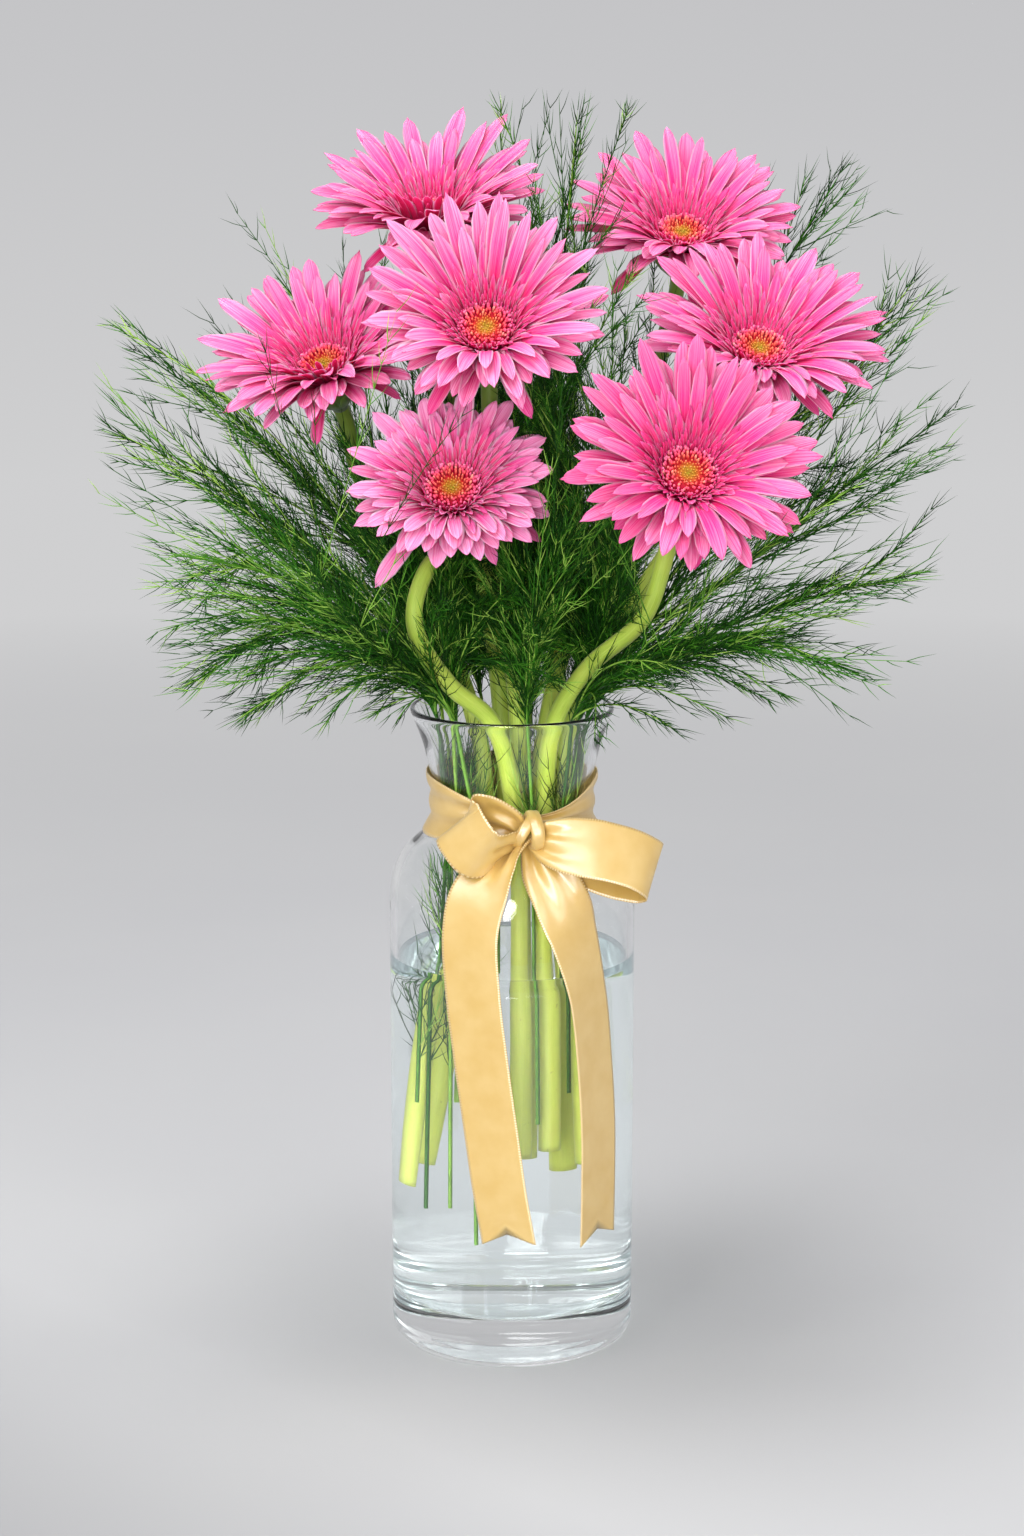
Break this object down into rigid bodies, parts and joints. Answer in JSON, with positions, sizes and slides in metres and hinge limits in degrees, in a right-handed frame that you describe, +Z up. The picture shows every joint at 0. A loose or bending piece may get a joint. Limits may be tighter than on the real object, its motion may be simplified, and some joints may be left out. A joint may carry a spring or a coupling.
{
  "type": "flower bouquet in vase",
  "caption": "Bouquet of pink daisy-like cut flowers with feathery greenery, standing in a tall clear glass vase of water with a satin bow tied round its neck",
  "frame": {"origin": "the middle of the vase's flat bottom, which stands on the table", "axes": "+Z up along the vase's axis, the bow and most of the flowers face -Y, +X to the viewer's right"},
  "size_m": [0.34, 0.271, 0.5035],
  "materials": {
    "glass": "clear, polished, with a thick base",
    "water": "clear water",
    "satin": "gold satin ribbon with stitched edges",
    "stem_green": "smooth pale green flower stalk with fine hairs",
    "petal_pink": "matt petal, paler along its edges",
    "disc_coral": "dense small florets",
    "fern_green": "dark green fine needles"
  },
  "bodies": {
    "root": {"vase": "glass", "water": "water", "ribbon": "satin", "stem_1": "stem_green", "petals_1": "petal_pink", "disc_1": "disc_coral", "stem_2": "stem_green", "petals_2": "petal_pink", "disc_2": "disc_coral", "stem_3": "stem_green", "petals_3": "petal_pink", "disc_3": "disc_coral", "stem_4": "stem_green", "petals_4": "petal_pink", "disc_4": "disc_coral", "stem_5": "stem_green", "petals_5": "petal_pink", "disc_5": "disc_coral", "stem_6": "stem_green", "petals_6": "petal_pink", "disc_6": "disc_coral", "stem_7": "stem_green", "petals_7": "petal_pink", "disc_7": "disc_coral", "fern_01": "fern_green", "fern_02": "fern_green", "fern_03": "fern_green", "fern_04": "fern_green", "fern_05": "fern_green", "fern_06": "fern_green", "fern_07": "fern_green", "fern_08": "fern_green", "fern_09": "fern_green", "fern_10": "fern_green", "fern_11": "fern_green", "fern_12": "fern_green", "fern_13": "fern_green", "fern_14": "fern_green", "fern_15": "fern_green", "fern_16": "fern_green", "fern_17": "fern_green", "fern_18": "fern_green"}
  },
  "joints": []
}
